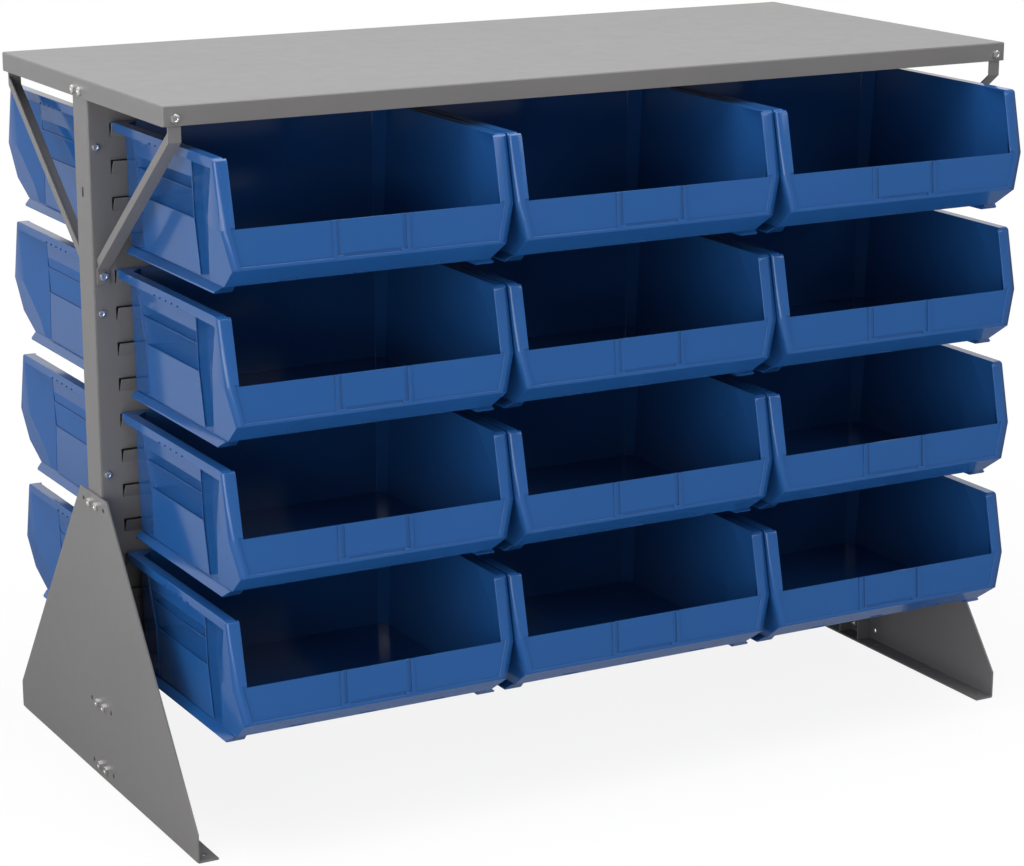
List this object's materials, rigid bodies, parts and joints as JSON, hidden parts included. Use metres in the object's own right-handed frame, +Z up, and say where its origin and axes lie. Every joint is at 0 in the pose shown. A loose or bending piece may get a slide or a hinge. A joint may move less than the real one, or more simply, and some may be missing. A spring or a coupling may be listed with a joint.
{
  "type": "louvered floor bin rack",
  "caption": "Double-sided steel floor rack with louvered panels, lift-off plastic hopper bins, a flat worktop and sheet-metal legs.",
  "frame": {"origin": "on the floor at the middle of the rack", "axes": "+X along the worktop to the right as seen from the front, +Y to the rear, +Z up"},
  "size_m": [1.3432, 0.8062, 1.0145],
  "materials": {
    "grey_paint": "smooth satin powder coat",
    "zinc": "bright zinc plate",
    "blue_plastic": "satin moulded polypropylene"
  },
  "bodies": {
    "rack": {"worktop": "grey_paint", "left_post": "grey_paint", "right_post": "grey_paint", "front_louver_panel": "grey_paint", "rear_louver_panel": "grey_paint", "left_leg": "grey_paint", "right_leg": "grey_paint", "front_left_brace": "grey_paint", "front_right_brace": "grey_paint", "rear_left_brace": "grey_paint", "rear_right_brace": "grey_paint", "left_leg_bolts": "zinc", "right_leg_bolts": "zinc", "left_leg_nuts": "zinc", "right_leg_nuts": "zinc", "worktop_bolts": "zinc", "worktop_nuts": "zinc", "brace_upper_bolts": "zinc", "brace_upper_nuts": "zinc", "brace_lower_bolts": "zinc", "brace_lower_nuts": "zinc", "panel_screws": "zinc", "panel_nuts": "zinc"},
    "front_bin_row1_left_body": {"front_bin_row1_left": "blue_plastic"},
    "front_bin_row1_middle_body": {"front_bin_row1_middle": "blue_plastic"},
    "front_bin_row1_right_body": {"front_bin_row1_right": "blue_plastic"},
    "front_bin_row2_left_body": {"front_bin_row2_left": "blue_plastic"},
    "front_bin_row2_middle_body": {"front_bin_row2_middle": "blue_plastic"},
    "front_bin_row2_right_body": {"front_bin_row2_right": "blue_plastic"},
    "front_bin_row3_left_body": {"front_bin_row3_left": "blue_plastic"},
    "front_bin_row3_middle_body": {"front_bin_row3_middle": "blue_plastic"},
    "front_bin_row3_right_body": {"front_bin_row3_right": "blue_plastic"},
    "front_bin_row4_left_body": {"front_bin_row4_left": "blue_plastic"},
    "front_bin_row4_middle_body": {"front_bin_row4_middle": "blue_plastic"},
    "front_bin_row4_right_body": {"front_bin_row4_right": "blue_plastic"},
    "rear_bin_row1_left_body": {"rear_bin_row1_left": "blue_plastic"},
    "rear_bin_row1_middle_body": {"rear_bin_row1_middle": "blue_plastic"},
    "rear_bin_row1_right_body": {"rear_bin_row1_right": "blue_plastic"},
    "rear_bin_row2_left_body": {"rear_bin_row2_left": "blue_plastic"},
    "rear_bin_row2_middle_body": {"rear_bin_row2_middle": "blue_plastic"},
    "rear_bin_row2_right_body": {"rear_bin_row2_right": "blue_plastic"},
    "rear_bin_row3_left_body": {"rear_bin_row3_left": "blue_plastic"},
    "rear_bin_row3_middle_body": {"rear_bin_row3_middle": "blue_plastic"},
    "rear_bin_row3_right_body": {"rear_bin_row3_right": "blue_plastic"},
    "rear_bin_row4_left_body": {"rear_bin_row4_left": "blue_plastic"},
    "rear_bin_row4_middle_body": {"rear_bin_row4_middle": "blue_plastic"},
    "rear_bin_row4_right_body": {"rear_bin_row4_right": "blue_plastic"}
  },
  "joints": [
    {"name": "front_bin_row1_left_lift", "type": "slide", "parent": "rack", "child": "front_bin_row1_left_body", "axis": [0, 0, 1], "range_m": [0, 0.022]},
    {"name": "front_bin_row1_middle_lift", "type": "slide", "parent": "rack", "child": "front_bin_row1_middle_body", "axis": [0, 0, 1], "range_m": [0, 0.022]},
    {"name": "front_bin_row1_right_lift", "type": "slide", "parent": "rack", "child": "front_bin_row1_right_body", "axis": [0, 0, 1], "range_m": [0, 0.022]},
    {"name": "front_bin_row2_left_lift", "type": "slide", "parent": "rack", "child": "front_bin_row2_left_body", "axis": [0, 0, 1], "range_m": [0, 0.022]},
    {"name": "front_bin_row2_middle_lift", "type": "slide", "parent": "rack", "child": "front_bin_row2_middle_body", "axis": [0, 0, 1], "range_m": [0, 0.022]},
    {"name": "front_bin_row2_right_lift", "type": "slide", "parent": "rack", "child": "front_bin_row2_right_body", "axis": [0, 0, 1], "range_m": [0, 0.022]},
    {"name": "front_bin_row3_left_lift", "type": "slide", "parent": "rack", "child": "front_bin_row3_left_body", "axis": [0, 0, 1], "range_m": [0, 0.022]},
    {"name": "front_bin_row3_middle_lift", "type": "slide", "parent": "rack", "child": "front_bin_row3_middle_body", "axis": [0, 0, 1], "range_m": [0, 0.022]},
    {"name": "front_bin_row3_right_lift", "type": "slide", "parent": "rack", "child": "front_bin_row3_right_body", "axis": [0, 0, 1], "range_m": [0, 0.022]},
    {"name": "front_bin_row4_left_lift", "type": "slide", "parent": "rack", "child": "front_bin_row4_left_body", "axis": [0, 0, 1], "range_m": [0, 0.022]},
    {"name": "front_bin_row4_middle_lift", "type": "slide", "parent": "rack", "child": "front_bin_row4_middle_body", "axis": [0, 0, 1], "range_m": [0, 0.022]},
    {"name": "front_bin_row4_right_lift", "type": "slide", "parent": "rack", "child": "front_bin_row4_right_body", "axis": [0, 0, 1], "range_m": [0, 0.022]},
    {"name": "rear_bin_row1_left_lift", "type": "slide", "parent": "rack", "child": "rear_bin_row1_left_body", "axis": [0, 0, 1], "range_m": [0, 0.022]},
    {"name": "rear_bin_row1_middle_lift", "type": "slide", "parent": "rack", "child": "rear_bin_row1_middle_body", "axis": [0, 0, 1], "range_m": [0, 0.022]},
    {"name": "rear_bin_row1_right_lift", "type": "slide", "parent": "rack", "child": "rear_bin_row1_right_body", "axis": [0, 0, 1], "range_m": [0, 0.022]},
    {"name": "rear_bin_row2_left_lift", "type": "slide", "parent": "rack", "child": "rear_bin_row2_left_body", "axis": [0, 0, 1], "range_m": [0, 0.022]},
    {"name": "rear_bin_row2_middle_lift", "type": "slide", "parent": "rack", "child": "rear_bin_row2_middle_body", "axis": [0, 0, 1], "range_m": [0, 0.022]},
    {"name": "rear_bin_row2_right_lift", "type": "slide", "parent": "rack", "child": "rear_bin_row2_right_body", "axis": [0, 0, 1], "range_m": [0, 0.022]},
    {"name": "rear_bin_row3_left_lift", "type": "slide", "parent": "rack", "child": "rear_bin_row3_left_body", "axis": [0, 0, 1], "range_m": [0, 0.022]},
    {"name": "rear_bin_row3_middle_lift", "type": "slide", "parent": "rack", "child": "rear_bin_row3_middle_body", "axis": [0, 0, 1], "range_m": [0, 0.022]},
    {"name": "rear_bin_row3_right_lift", "type": "slide", "parent": "rack", "child": "rear_bin_row3_right_body", "axis": [0, 0, 1], "range_m": [0, 0.022]},
    {"name": "rear_bin_row4_left_lift", "type": "slide", "parent": "rack", "child": "rear_bin_row4_left_body", "axis": [0, 0, 1], "range_m": [0, 0.022]},
    {"name": "rear_bin_row4_middle_lift", "type": "slide", "parent": "rack", "child": "rear_bin_row4_middle_body", "axis": [0, 0, 1], "range_m": [0, 0.022]},
    {"name": "rear_bin_row4_right_lift", "type": "slide", "parent": "rack", "child": "rear_bin_row4_right_body", "axis": [0, 0, 1], "range_m": [0, 0.022]}
  ]
}
